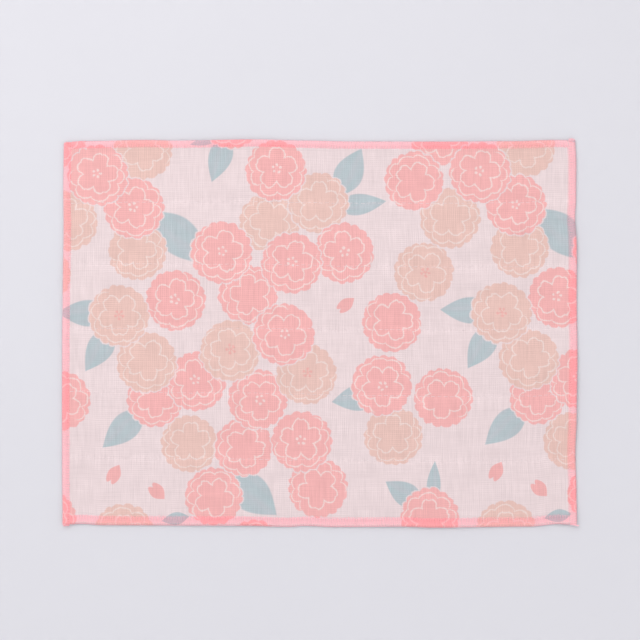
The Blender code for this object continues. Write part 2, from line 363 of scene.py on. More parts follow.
def panel_lines(columns):
    """Height of each line of points at each column. Lines near a row of stitches follow it."""
    low, high = edge_lines(DEPTH / 2, EDGINGS["bottom"][0] * MM, EDGINGS["top"][0] * MM)
    last = np.full(len(columns), low[-1])
    lines = [np.full(len(columns), y) for y in low]
    for row in sorted(STITCH_ROWS):
        run = row_height(row, columns)
        steps = (*[-s for s in reversed(NEAR_ROW)], 0.0, *NEAR_ROW)
        fill = max(2, round((run[0] + steps[0] - last[0]) / FIELD_STEP))
        lines += [last + (run + steps[0] - last) * i / fill for i in range(1, fill)]
        lines += [run + step for step in steps]
        last = lines[-1]
    fill = max(2, round((high[0] - last[0]) / FIELD_STEP))
    lines += [last + (high[0] - last) * i / fill for i in range(1, fill)]
    return np.array(lines + [np.full(len(columns), y) for y in high])


def grid_faces(rows, columns, first=0, flip=False):
    """Quads of a grid of points numbered row by row from first."""
    index = first + np.arange(rows * columns).reshape(rows, columns)
    corners = (index[:-1, :-1], index[:-1, 1:], index[1:, 1:], index[1:, :-1])
    faces = np.stack(corners, axis=-1).reshape(-1, 4)
    return faces[:, ::-1] if flip else faces


def make_mesh(name, points, faces, material):
    """A named object from an array of points and an array of quads."""
    mesh = bpy.data.meshes.new(name)
    mesh.vertices.add(len(points))
    mesh.vertices.foreach_set("co", points.astype(np.float32).ravel())
    mesh.loops.add(faces.size)
    mesh.loops.foreach_set("vertex_index", faces.astype(np.int32).ravel())
    mesh.polygons.add(len(faces))
    mesh.polygons.foreach_set("loop_start", np.arange(0, faces.size, 4, dtype=np.int32))
    mesh.polygons.foreach_set("loop_total", np.full(len(faces), 4, dtype=np.int32))
    mesh.update(calc_edges=True)
    mesh.validate()
    mesh.polygons.foreach_set("use_smooth", np.full(len(faces), True))
    mesh.materials.append(material)
    piece = bpy.data.objects.new(name, mesh)
    bpy.context.scene.collection.objects.link(piece)
    return piece


def store(piece, name, kind, domain, values):
    """Keeps an array of values on the piece's mesh, for its material."""
    attribute = piece.data.attributes.new(name, kind, domain)
    key = "vector" if kind == "FLOAT_VECTOR" else "value"
    attribute.data.foreach_set(key, values.astype(np.float32).ravel())


def with_repeats(table, pairs):
    """Each row of a chart at home and one repeat to either side. pairs are its place columns."""
    for row in table:
        for turn in (-1, 0, 1):
            moved = list(row)
            for column in pairs:
                moved[column] += REPEAT[0] * turn
                moved[column + 1] += REPEAT[1] * turn
            yield moved


def print_layers(print_places, corners):
    """Works out which flowers and leaves each face shows, with the corners' places in each.

    print_places are the points' places on the chart in mm. Faces take the topmost flowers first,
    and stop at one that covers the face whole. Returns flower places (u, v, way of the slip),
    flower styles (kind, slip, 0) and leaf places (u, v, kind), as layers x faces x 4 corners.
    """
    place = print_places[corners]
    faces = len(corners)
    flowers = np.full((FLOWER_LAYERS, faces, 4, 3), FAR_OFF)
    styles = np.zeros((FLOWER_LAYERS, faces, 4, 3))
    count, covered = np.zeros(faces, int), np.zeros(faces, bool)
    for kind, x, y, turn_deg, slip_x, slip_y, radius in with_repeats(FLOWERS, (1,)):
        turn, slip = math.radians(turn_deg), math.atan2(slip_y, slip_x)
        size = radius / FLOWER_RADIUS
        offset = (place - (x, y)) / size
        slip_length = math.hypot(slip_x, slip_y) / size
        distance = np.hypot(offset[..., 0] - slip_x / size, offset[..., 1] - slip_y / size)
        reach = FLOWER_RADIUS + FLOWER_RING + WAVER + 2 * BLUR
        shows = (distance.min(axis=1) < reach) & ~covered & (count < FLOWER_LAYERS)
        cos, sin = math.cos(turn), math.sin(turn)
        turned = np.stack((offset[..., 0] * cos + offset[..., 1] * sin,
                           offset[..., 1] * cos - offset[..., 0] * sin,
                           np.full(offset.shape[:2], slip - turn)), axis=-1)
        flowers[count[shows], shows] = turned[shows]
        styles[count[shows], shows] = (KINDS[kind], slip_length, 0.0)
        covered |= distance.max(axis=1) < 0.9 * FLOWER_RADIUS - WAVER
        count += shows
    leaves = np.full((LEAF_LAYERS, faces, 4, 3), FAR_OFF)
    count = np.zeros(faces, int)
    plants = [(*row, 0.0) for row in LEAVES] + [(*row, 1.0) for row in LOOSE_PETALS]
    for tip_x, tip_y, root_x, root_y, half, kind in with_repeats(plants, (0, 2)):
        along = np.array((root_x - tip_x, root_y - tip_y))
        offset = place - (tip_x, tip_y)
        u = offset @ along / (along @ along)
        v = (offset[..., 1] * along[0] - offset[..., 0] * along[1]) / np.hypot(*along) / half
        near = (np.abs(u - 0.5).min(axis=1) < 0.62) & (np.abs(v).min(axis=1) < 1.25)
        shows = near & ~covered & (count < LEAF_LAYERS)
        turned = np.stack((u, v, np.full(u.shape, kind)), axis=-1)
        leaves[count[shows], shows] = turned[shows]
        count += shows
    return flowers, styles, leaves


def store_print(piece, points, faces):
    """Keeps the printed layers on the corners of a piece's faces, for its material."""
    flowers, styles, leaves = print_layers((points[:, :2] + MIDDLE) / MM, faces)
    for layer in range(FLOWER_LAYERS):
        store(piece, f"flower_{layer + 1}", "FLOAT_VECTOR", "CORNER", flowers[layer])
        store(piece, f"flower_style_{layer + 1}", "FLOAT_VECTOR", "CORNER", styles[layer])
    for layer in range(LEAF_LAYERS):
        store(piece, f"leaf_{layer + 1}", "FLOAT_VECTOR", "CORNER", leaves[layer])


def make_panel(material):
    """The gauze stack: an upper and a lower grid of points over the cut, closed round the rim."""
    columns = panel_columns()
    y = panel_lines(columns)
    x = np.broadcast_to(columns, y.shape)
    rows, across = y.shape
    under, upper = panel_faces(x, y)
    half = np.minimum.reduce((WIDTH / 2 - RIM_IN - np.abs(x), DEPTH / 2 - RIM_IN - np.abs(y)))
    nose = np.sqrt(np.clip(1 - (1 - np.clip(half / NOSE, 0, 1)) ** 2, 0, 1))
    middle = (EDGE_UNDER + EDGE_UPPER) / 2
    under, upper = middle + (under - middle) * nose, middle + (upper - middle) * nose
    ring = half <= 1e-9
    under = np.where(ring, middle - RIM_GAP, under)
    upper = np.where(ring, middle + RIM_GAP, upper)
    points = np.concatenate((laid(x, y, upper).reshape(-1, 3), laid(x, y, under).reshape(-1, 3)))
    top = grid_faces(rows, across)
    bottom = grid_faces(rows, across, rows * across, flip=True)
    index = np.arange(rows * across).reshape(rows, across)
    loop = np.concatenate((index[0, :-1], index[:-1, -1], index[-1, :0:-1], index[:0:-1, 0]))
    after = np.roll(loop, -1)
    wall = np.stack((loop + rows * across, after + rows * across, after, loop), axis=-1)
    faces = np.concatenate((top, bottom, wall))
    piece = make_mesh("cloth_panel", points, faces, material)
    is_upper = np.concatenate((np.ones(x.size), np.zeros(x.size)))
    cut = np.stack((np.tile(x.ravel() / MM, 2), np.tile(y.ravel() / MM, 2), is_upper), axis=-1)
    store(piece, "cut_place", "FLOAT_VECTOR", "POINT", cut)
    store(piece, "row_distance", "FLOAT", "POINT", np.tile(nearest_row(x, y).ravel() / MM, 2))
    store(piece, "band_distance", "FLOAT", "POINT", np.tile(inside(x, y).ravel() / MM, 2))
    store_print(piece, points, faces)
    return piece


def carried(path, side_way, radius, sides=4, flat=1.0):
    """A thread carried along a path: an oval ring of points about each point of the path.

    side_way is one direction that is never along the path. Each ring lies square to the path, from
    the side direction less its part along the path, and the cross product of the two. The ends
    are drawn in to a point. Returns points and quads.
    """
    ahead = np.gradient(path, axis=0)
    ahead /= np.linalg.norm(ahead, axis=1, keepdims=True)
    side_way = np.broadcast_to(side_way, path.shape)
    sideways = side_way - ahead * np.sum(side_way * ahead, axis=1, keepdims=True)
    sideways /= np.linalg.norm(sideways, axis=1, keepdims=True)
    upward = np.cross(sideways, ahead)
    turns = 2 * math.pi * (np.arange(sides) + 0.5) / sides
    size = np.full(len(path), radius)
    size[0] = size[-1] = 0.05 * radius
    across, over = np.cos(turns)[:, None], flat * np.sin(turns)[:, None]
    ring = sideways[:, None] * across + upward[:, None] * over
    points = (path[:, None] + ring * size[:, None, None]).reshape(-1, 3)
    index = np.arange(len(path) * sides).reshape(len(path), sides)
    after = np.roll(index, -1, axis=1)
    faces = np.stack((index[:-1], after[:-1], after[1:], index[1:]), axis=-1).reshape(-1, 4)
    return points, faces


def joined(name, parts, material, with_print=False):
    """One object from several (points, faces) pairs."""
    points, faces, first = [], [], 0
    for part_points, part_faces in parts:
        points.append(part_points)
        faces.append(part_faces + first)
        first += len(part_points)
    points, faces = np.concatenate(points), np.concatenate(faces)
    piece = make_mesh(name, points, faces, material)
    if with_print:
        store_print(piece, points, faces)
    return piece


def on_cut(side, inward, along):
    """A point of the cut, given its distance in from a side and its place along that side."""
    return {
        "left": (-WIDTH / 2 + inward, along),
        "right": (WIDTH / 2 - inward, along),
        "bottom": (along, -DEPTH / 2 + inward),
        "top": (along, DEPTH / 2 - inward),
    }[side]


# One stitch of each overlock thread. Inward is a share of the band, along a share of the stitch.
UPPER_LOOPER = (
    # (inward, height_mm, along)
    (0.00, 0.95, 0.02),
    (0.05, 1.45, 0.08),
    (0.24, 1.93, 0.20),
    (0.70, 1.98, 0.32),
    (0.97, 1.74, 0.42),
    (0.99, 1.72, 0.56),
    (0.72, 2.00, 0.66),
    (0.26, 1.95, 0.78),
    (0.06, 1.48, 0.90),
)
LOWER_LOOPER = (
    # (inward, height_mm, along)
    (0.02, 1.05, 0.30),
    (0.08, 0.35, 0.38),
    (0.45, 0.17, 0.52),
    (0.92, 0.20, 0.68),
    (0.93, 0.20, 0.84),
    (0.46, 0.17, 0.98),
    (0.07, 0.36, 1.16),
)
PURL = (
    # (inward, height_mm, along)
    (0.012, 1.30, 0.1),
    (-0.008, 1.05, 0.4),
    (-0.004, 0.90, 0.6),
    (-0.004, 1.15, 0.9),
)
NEEDLE = (
    # (inward, height_mm, along)
    (0.93, 1.70, 0.00),
    (0.94, 1.98, 0.25),
    (0.95, 2.00, 0.55),
    (0.94, 1.96, 0.82),
)


WANDER = 0.03  # how far a band's depth wanders, as a share, in a slow sine along the stitches
WANDER_STITCHES = 17.0
RISE_SPREAD = 0.03 * MM


def thread_run(side, table, stitches, seed, spread):
    """A thread's path along one side: the table's points for each stitch, stitch after stitch.

    Each stitch is shifted along by a small random share, and the depth of the band wanders.
    """
    rng = np.random.default_rng(seed)
    inward, height_mm, along = (np.array(column) for column in zip(*table))
    number = np.arange(stitches)[:, None]
    start, length = SPANS[side]
    shift = rng.normal(0, spread, (stitches, 1))
    depth = REACH[side] + rng.normal(0, REACH_SPREAD, (stitches, 1))
    depth = depth + WANDER * np.sin(number / WANDER_STITCHES + seed)
    place = start + (number + along + shift * (along > 0.3)) / stitches * length
    reach = inward * depth * EDGINGS[side][0] * MM
    rise = height_mm * MM + rng.normal(0, RISE_SPREAD, (stitches, len(table)))
    rise = np.maximum(rise, THREAD / 2)
    return place.ravel(), reach.ravel(), rise.ravel()


def side_span(side):
    """Where a side's run of thread starts, and how long it is."""
    _band, start_past_mm, end_past_mm = EDGINGS[side]
    if side in ("left", "right"):
        start = -DEPTH / 2 - start_past_mm * MM
        return start, DEPTH / 2 + end_past_mm * MM - start
    start = -WIDTH / 2 + EDGINGS["left"][0] * MM + THREAD
    return start, WIDTH / 2 - EDGINGS["right"][0] * REACH["right"] * MM - THREAD / 2 - start


SPANS = {side: side_span(side) for side in EDGINGS}
TIP_LENGTH = 1.8 * MM
TIP_SHARE = 0.78
TAIL = (
    # (x_mm, y_mm, height_mm), where the right side's last threads stick out of its lower end
    (195.5, -148.6, 1.9),
    (198.5, -150.0, 1.7),
    (200.9, -150.7, 1.2),
    (202.4, -150.3, 0.7),
)


def make_edging(side, material):
    """One side's overlock: two loopers, the purl along the edge and the needle thread."""
    start, length = SPANS[side]
    stitches = round(length / STITCH)
    parts = []
    upright = side in ("left", "right")
    run_way = (0.0, 1.0, 0.0) if upright else (1.0, 0.0, 0.0)
    in_way = (1.0, 0.0, 0.0) if upright else (0.0, 1.0, 0.0)
    for seed, (table, way, size, spread) in enumerate((
        (UPPER_LOOPER, run_way, 1.0, 0.05),
        (LOWER_LOOPER, run_way, 1.0, 0.05),
        (PURL, in_way, 0.9, 0.06),
        (NEEDLE, in_way, 0.85, 0.02),
    )):
        along, inward, height = thread_run(side, table, stitches, seed + 1, spread)
        if upright:
            past = np.maximum(start + TIP_LENGTH - along, along - (start + length - TIP_LENGTH))
            share = 1 - (1 - TIP_SHARE) * smooth_share(past, 0.0, TIP_LENGTH)
            middle = EDGINGS[side][0] * MM / 2
            inward = middle + (inward - middle) * share
            height = height * (0.5 + 0.5 * share)
        x, y = on_cut(side, inward, along)
        path = laid(x, y, height)
        parts.append(carried(path, np.array(way), size * THREAD / 2, flat=THREAD_FLAT))
    if side == "right":
        x, y, height = (np.array(column) * MM for column in zip(*TAIL))
        for apart in (-0.35 * MM, 0.0, 0.4 * MM):
            path = laid(x, y + apart, height)
            parts.append(carried(path, np.array((0.0, 1.0, 0.0)), THREAD / 2, flat=THREAD_FLAT))
    return joined(f"overlock_{side}", parts, material, with_print=True)


RUN_PROFILE = (
    # (share of the stitch, height share from underside to upper side)
    (0.00, 0.25),
    (0.05, 1.00),
    (0.18, 1.12),
    (0.36, 1.16),
    (0.52, 1.12),
    (0.64, 1.00),
    (0.70, 0.35),
    (0.78, -0.05),
    (0.93, -0.05),
)
RUN_MARGIN = 0.6  # between a band and a row's end, in mm
RUN_SHIFT = 0.05  # how unevenly the stitches are set along a row, as a share of one
RUN_STRAY = 0.12 * MM  # and across it


def make_running_stitches(material):
    """The five rows of white thread: long stitches on top, short dips through the stack."""
    rng = np.random.default_rng(7)
    parts = []
    start = -WIDTH / 2 + (EDGINGS["left"][0] + RUN_MARGIN) * MM
    end = WIDTH / 2 - (EDGINGS["right"][0] + RUN_MARGIN) * MM
    shares, heights = (np.array(column) for column in zip(*RUN_PROFILE))
    stitches = round((end - start) / RUN_STITCH)
    for row in STITCH_ROWS:
        number = np.arange(stitches)[:, None]
        shift = rng.normal(0, RUN_SHIFT, (stitches, 1))
        x = (start + (number + shares + shift) / stitches * (end - start)).ravel()
        y = row_height(row, x) + np.repeat(rng.normal(0, RUN_STRAY, stitches), len(shares))
        under, upper = panel_faces(x, y)
        lie = np.tile(heights, stitches)
        z = under + (upper - under) * np.clip(lie, 0, 1)
        z += RUN_THREAD / 2 * ((lie > 0.9) * 0.8 - (lie < 0) * 0.8)
        z = np.maximum(z, RUN_THREAD)
        path = laid(x, y, z)
        parts.append(carried(path, np.array((0.0, 1.0, 0.0)), RUN_THREAD / 2, sides=6))
    return joined("running_stitches", parts, material)


def node(tree, kind, inputs=(), output=0, **settings):
    """Adds a shader node with its settings, links or fills its inputs, and gives one output.

    The kind may carry the node's operation after a colon. Inputs go in order, by name or number.
    """
    kind, _colon, operation = kind.partition(":")
    made = tree.nodes.new("ShaderNode" + kind)
    if operation:
        made.operation = operation
    for name, value in settings.items():
        setattr(made, name, value)
    filled = inputs.items() if isinstance(inputs, dict) else enumerate(inputs)
    for place, value in filled:
        if isinstance(value, bpy.types.NodeSocket):
            tree.links.new(value, made.inputs[place])
        else:
            made.inputs[place].default_value = value
    return made.outputs[output]


def products(tree):
    """Functions that add a tree's two commonest nodes: a product, and a product plus a third."""
    def times(*inputs):
        return node(tree, "Math:MULTIPLY", inputs)

    def times_plus(*inputs):
        return node(tree, "Math:MULTIPLY_ADD", inputs)

    return times, times_plus


def stored(tree, name, output="Vector"):
    """A value that store() kept on the mesh."""
    return node(tree, "Attribute", output=output, attribute_name=name)


def mixed(tree, share, first, second, **settings):
    """Two colours mixed, with that share of the second."""
    inputs = {0: share, 6: first, 7: second}
    return node(tree, "Mix", inputs, 2, data_type="RGBA", **settings)


def spread_out(tree, value, low, high, **inputs):
    """A value between low and high spread over 0 to 1, and clipped outside."""
    return node(tree, "MapRange", {"Value": value, "From Min": low, "From Max": high, **inputs})


def bell(tree, value):
    """e to the power of minus the value's square."""
    square = node(tree, "Math:MULTIPLY", (value, value))
    return node(tree, "Math:EXPONENT", (node(tree, "Math:MULTIPLY", (square, -1.0)),))


def printed(tree, value, edge, blur=BLUR):
    """A soft printed edge: 0 below that value, 1 above it. A negative blur turns it round."""
    inputs = {"Value": value, "From Min": edge - blur, "From Max": edge + blur}
    return node(tree, "MapRange", inputs, interpolation_type="SMOOTHSTEP")


def polar(tree, u, v):
    """Distance and angle of a place from its middle."""
    square = node(tree, "Math:MULTIPLY_ADD", (u, u, node(tree, "Math:MULTIPLY", (v, v))))
    return node(tree, "Math:SQRT", (square,)), node(tree, "Math:ARCTAN2", (v, u))


def new_group(name, takes, gives):
    """An empty node group with the named inputs and outputs, and its inner ends of both."""
    tree = bpy.data.node_groups.new(name, "ShaderNodeTree")
    for label, kind in takes:
        tree.interface.new_socket(label, in_out="INPUT", socket_type="NodeSocket" + kind)
    for label, kind in gives:
        tree.interface.new_socket(label, in_out="OUTPUT", socket_type="NodeSocket" + kind)
    return tree, tree.nodes.new("NodeGroupInput").outputs, tree.nodes.new("NodeGroupOutput").inputs


PINK_OUTER = linear("#DEA5A3")
PINK_INNER = linear("#DDA4A2")
PINK_LINE = linear("#DDC3BF")
BEIGE = linear("#D4B2A9")
BEIGE_LINE = linear("#D9C4BE")
STAR_PINK = linear("#D89A95")
GROUND = linear("#D6C5C5")
LEAF_GREY = linear("#ADB2B6")
LEAF_TEAL = linear("#A7B3B6")
PETAL_PINK = linear("#DBA3A1")
UNDER_THREAD = (1.08, 0.84, 0.86, 1.0)  # times the print's colour on the gauze under the edging
THROUGH_THREAD = (1.38, 0.95, 1.04, 1.0)  # times the print's colour where threads take it on
PRINT_SEEN = 0.65  # how much of that there is in an edging thread's colour
RIM_LINE = (0.52, -0.36)  # half the width of a pale line along a rim, and its blur, in mm


def flower_group():
    """One printed double blossom, from a place in its own frame in mm, its kind and its slip.

    The back ring has eighteen scallops: its rim follows the absolute cosine of nine turns. The
    middle ring has nine lobes of uneven depth, and five notched petals lie on top, each a rounded
    square of power 2.4. Pale lines follow the rims.
    """
    tree, given, result = new_group(
        "blossom",
        (("Under", "Color"), ("Place", "Vector"), ("Style", "Vector")),
        (("Color", "Color"),),
    )
    add = functools.partial(node, tree)
    times, times_plus = products(tree)
    u, v, way = add("SeparateXYZ", (given["Place"],)).node.outputs
    kind, slip, _spare = add("SeparateXYZ", (given["Style"],)).node.outputs
    way_u, way_v = add("Math:COSINE", (way,)), add("Math:SINE", (way,))

    # The back ring, centred towards the slip. Its scallops are uneven by a slow sine.
    back_u = add("Math:SUBTRACT", (u, times(way_u, slip)))
    back_v = add("Math:SUBTRACT", (v, times(way_v, slip)))
    back_radius, back_angle = polar(tree, back_u, back_v)
    uneven = add("Math:SINE", (times(back_angle, 3.0),))
    scallop = times_plus(back_angle, 9.0, times(uneven, 0.5))
    scallop = add("Math:ABSOLUTE", (add("Math:COSINE", (scallop,)),))
    scallop = add("Math:POWER", (scallop, 0.8))
    back_rim = times_plus(scallop, 1.7, FLOWER_RADIUS - 1.6)
    back_depth = add("Math:SUBTRACT", (back_rim, back_radius))
    cover = printed(tree, back_depth, 0.0)
    ring = printed(tree, back_depth, -FLOWER_RING)

    # The middle ring, with a pale rim where it stands off from the back ring.
    radius, angle = polar(tree, u, v)
    uneven = add("Math:SINE", (times_plus(angle, 2.0, 1.0),))
    lobe = times_plus(angle, 4.5, times_plus(uneven, 0.35, 0.6))
    lobe = add("Math:POWER", (add("Math:ABSOLUTE", (add("Math:COSINE", (lobe,)),)), 0.65))
    dip = add("Math:SUBTRACT", (lobe, 1.0))
    deep = times_plus(uneven, 1.3, 3.9)
    middle_rim = times_plus(dip, deep, 21.9)
    middle_depth = add("Math:SUBTRACT", (middle_rim, radius))
    towards = times_plus(u, way_u, times(v, way_v))
    towards = add("Math:DIVIDE", (towards, add("Math:MAXIMUM", (radius, 0.1))))
    slip_side = printed(tree, towards, -0.45, 0.12)
    on_rim = printed(tree, add("Math:ABSOLUTE", (middle_depth,)), *RIM_LINE)
    middle_line = times(on_rim, slip_side)

    # Five petals. The angle is folded into one petal, whose tip has a shallow notch.
    fifth = 2 * math.pi / 5
    folded = add("Math:FRACT", (times_plus(angle, 1 / fifth, 10.5),))
    folded = times_plus(folded, fifth, -fifth / 2)
    along = times(radius, add("Math:COSINE", (folded,)))
    aside = add("Math:ABSOLUTE", (times(radius, add("Math:SINE", (folded,))),))
    notch = add("Math:MAXIMUM", (times_plus(aside, -1 / 2.2, 1.0), 0.0))
    petal_middle, half_length, half_breadth, depth_scale, power = 9.6, 6.6, 6.2, 6.4, 2.4
    from_heart = add("Math:SUBTRACT", (along, petal_middle))
    outer = add("Math:MAXIMUM", (from_heart, 0.0))
    stretched = times_plus(times(notch, 0.15), outer, from_heart)
    length = add("Math:ABSOLUTE", (add("Math:DIVIDE", (stretched, half_length)),))
    length = add("Math:POWER", (length, power))
    breadth = add("Math:POWER", (add("Math:DIVIDE", (aside, half_breadth)), power))
    oval = add("Math:POWER", (add("Math:ADD", (length, breadth)), 1 / power))
    petal_depth = times_plus(oval, -depth_scale, depth_scale)
    beyond = printed(tree, radius, 7.0, 0.3)
    within = add("Math:SUBTRACT", (1.0, beyond))
    petal = add("Math:MAXIMUM", (printed(tree, petal_depth, 0.0), within))
    on_rim = printed(tree, add("Math:ABSOLUTE", (petal_depth,)), *RIM_LINE)
    petal_line = times(on_rim, beyond)

    # The stamens: five pale dots, or a faint pink star on the starred blossoms, which are beige.
    to_dot = add("Math:SUBTRACT", (along, 3.05))
    dot, _angle = polar(tree, to_dot, aside)
    dots = printed(tree, dot, 1.05, -0.4)
    in_reach = printed(tree, radius, 3.4, -0.3)
    spoke = times(printed(tree, aside, 0.35, -0.25), in_reach)
    star = add("Math:MAXIMUM", (dots, spoke))
    is_dotted = add("Math:LESS_THAN", (kind, 0.5))
    is_beige = add("Math:GREATER_THAN", (kind, 1.5))
    is_starred = add("Math:GREATER_THAN", (kind, 2.5))

    line = add("Math:MAXIMUM", (middle_line, petal_line))
    line = add("Math:MAXIMUM", (line, times(dots, is_dotted)))
    star = times(times(star, is_starred), 0.7)
    pink = mixed(tree, petal, PINK_OUTER, PINK_INNER)
    body = mixed(tree, is_beige, pink, BEIGE)
    body = mixed(tree, star, body, STAR_PINK)
    pale = mixed(tree, is_beige, PINK_LINE, BEIGE_LINE)
    body = mixed(tree, line, body, pale)
    ring = times(ring, 0.85)
    shown = mixed(tree, ring, given["Under"], GROUND)
    shown = mixed(tree, cover, shown, body)
    tree.links.new(shown, result["Color"])
    return tree


def leaf_group():
    """One printed leaf or loose petal, from its place (u, v): u runs from the tip to the root, and
    v is a share of the half width, which rises and falls as a sine to either side of its widest.
    """
    tree, given, result = new_group(
        "leaf_or_petal", (("Under", "Color"), ("Place", "Vector")), (("Color", "Color"),)
    )
    add = functools.partial(node, tree)
    times, times_plus = products(tree)
    u, v, kind = add("SeparateXYZ", (given["Place"],)).node.outputs
    widest = 0.55
    rising = add("Math:MINIMUM", (add("Math:DIVIDE", (u, widest)), 1.0))
    falling = add("Math:MAXIMUM", (add("Math:SUBTRACT", (u, widest)), 0.0))
    # A loose petal is still broad at its notched end.
    rate = times_plus(kind, -0.5 / (1 - widest), 1 / (1 - widest))
    quarters = add("Math:MINIMUM", (times_plus(falling, rate, rising), 2.0))
    half = add("Math:SINE", (times(quarters, math.pi / 2),))
    aside = add("Math:ABSOLUTE", (v,))
    depth = add("Math:SUBTRACT", (half, aside))
    depth = add("Math:MINIMUM", (depth, times(u, 4.0)))
    # The notched end is two round lobes: 1 less the square of the way from a lobe's middle.
    from_lobe = add("Math:SUBTRACT", (aside, 0.42))
    lobe = times(from_lobe, from_lobe)
    notch = add("Math:SUBTRACT", (times_plus(lobe, -1.0, 1.03), u))
    notch = times_plus(notch, 2.0, times_plus(kind, -100.0, 100.0))
    cover = printed(tree, add("Math:MINIMUM", (depth, notch)), 0.0, 0.06)
    noise = add("TexNoise", {"Vector": given["Place"], "Scale": 1.4, "Detail": 1.0})
    leaf = mixed(tree, spread_out(tree, noise, 0.35, 0.65), LEAF_GREY, LEAF_TEAL)
    body = mixed(tree, kind, leaf, PETAL_PINK)
    shown = mixed(tree, cover, given["Under"], body)
    tree.links.new(shown, result["Color"])
    return tree


def print_colour(tree, groups, stray=None):
    """The print's colour, from its lowest layer to its topmost. The flowers' places may stray."""
    blossom, plant = groups
    colour = node(tree, "RGB")
    colour.default_value = GROUND
    for layer in range(LEAF_LAYERS, 0, -1):
        inputs = {"Under": colour, "Place": stored(tree, f"leaf_{layer}")}
        colour = node(tree, "Group", inputs, node_tree=plant)
    for layer in range(FLOWER_LAYERS, 0, -1):
        place = stored(tree, f"flower_{layer}")
        if stray:
            place = node(tree, "VectorMath:ADD", (place, stray))
        style = stored(tree, f"flower_style_{layer}")
        inputs = {"Under": colour, "Place": place, "Style": style}
        colour = node(tree, "Group", inputs, node_tree=blossom)
    return colour


def new_material(name, roughness, sheen=0.0, specular=0.25):
    """A material with its shader's constant settings. Gives it, its tree and the shader."""
    material = bpy.data.materials.new(name)
    material.use_nodes = True
    tree = material.node_tree
    shader = tree.nodes["Principled BSDF"]
    shader.inputs["Roughness"].default_value = roughness
    shader.inputs["Specular IOR Level"].default_value = specular
    shader.inputs["Sheen Weight"].default_value = sheen
    shader.inputs["Sheen Roughness"].default_value = 0.5
    return material, tree, shader


# The gauze's weave, in mm. The photo is too coarse to show it. Real threads lie closer, which is
# under two pixels of the render, so they are drawn this far apart. Two layers lie at a slight
# turn to each other.
WEAVE = 1.56
WEAVE_LAYERS = ((0.004, 0.0), (-0.011, 0.43))  # (turn, shift)
TICK_SPREAD = 2.6  # how far from a row of stitches its ticks reach, in mm
SHADE_LINE_IN = 2.3  # painted shade: a faint line this far in from each band, beside the raised edging, in mm
SHADE_LINE_SPREAD = 0.6
# Tones of the gauze: painted shade in the weave's gaps, painted light on the ticks beside the
# rows, a line of painted shade beside the bands, and slubs that vary the tone.
SHADE = {
    "gaps": 0.915, "first": 0.09, "second": 0.045, "slub": 0.26, "ticks": 0.075, "shade_line": -0.05,
}
NOISE_LOW, NOISE_HIGH = 0.35, 0.65  # most of a noise's values lie between these


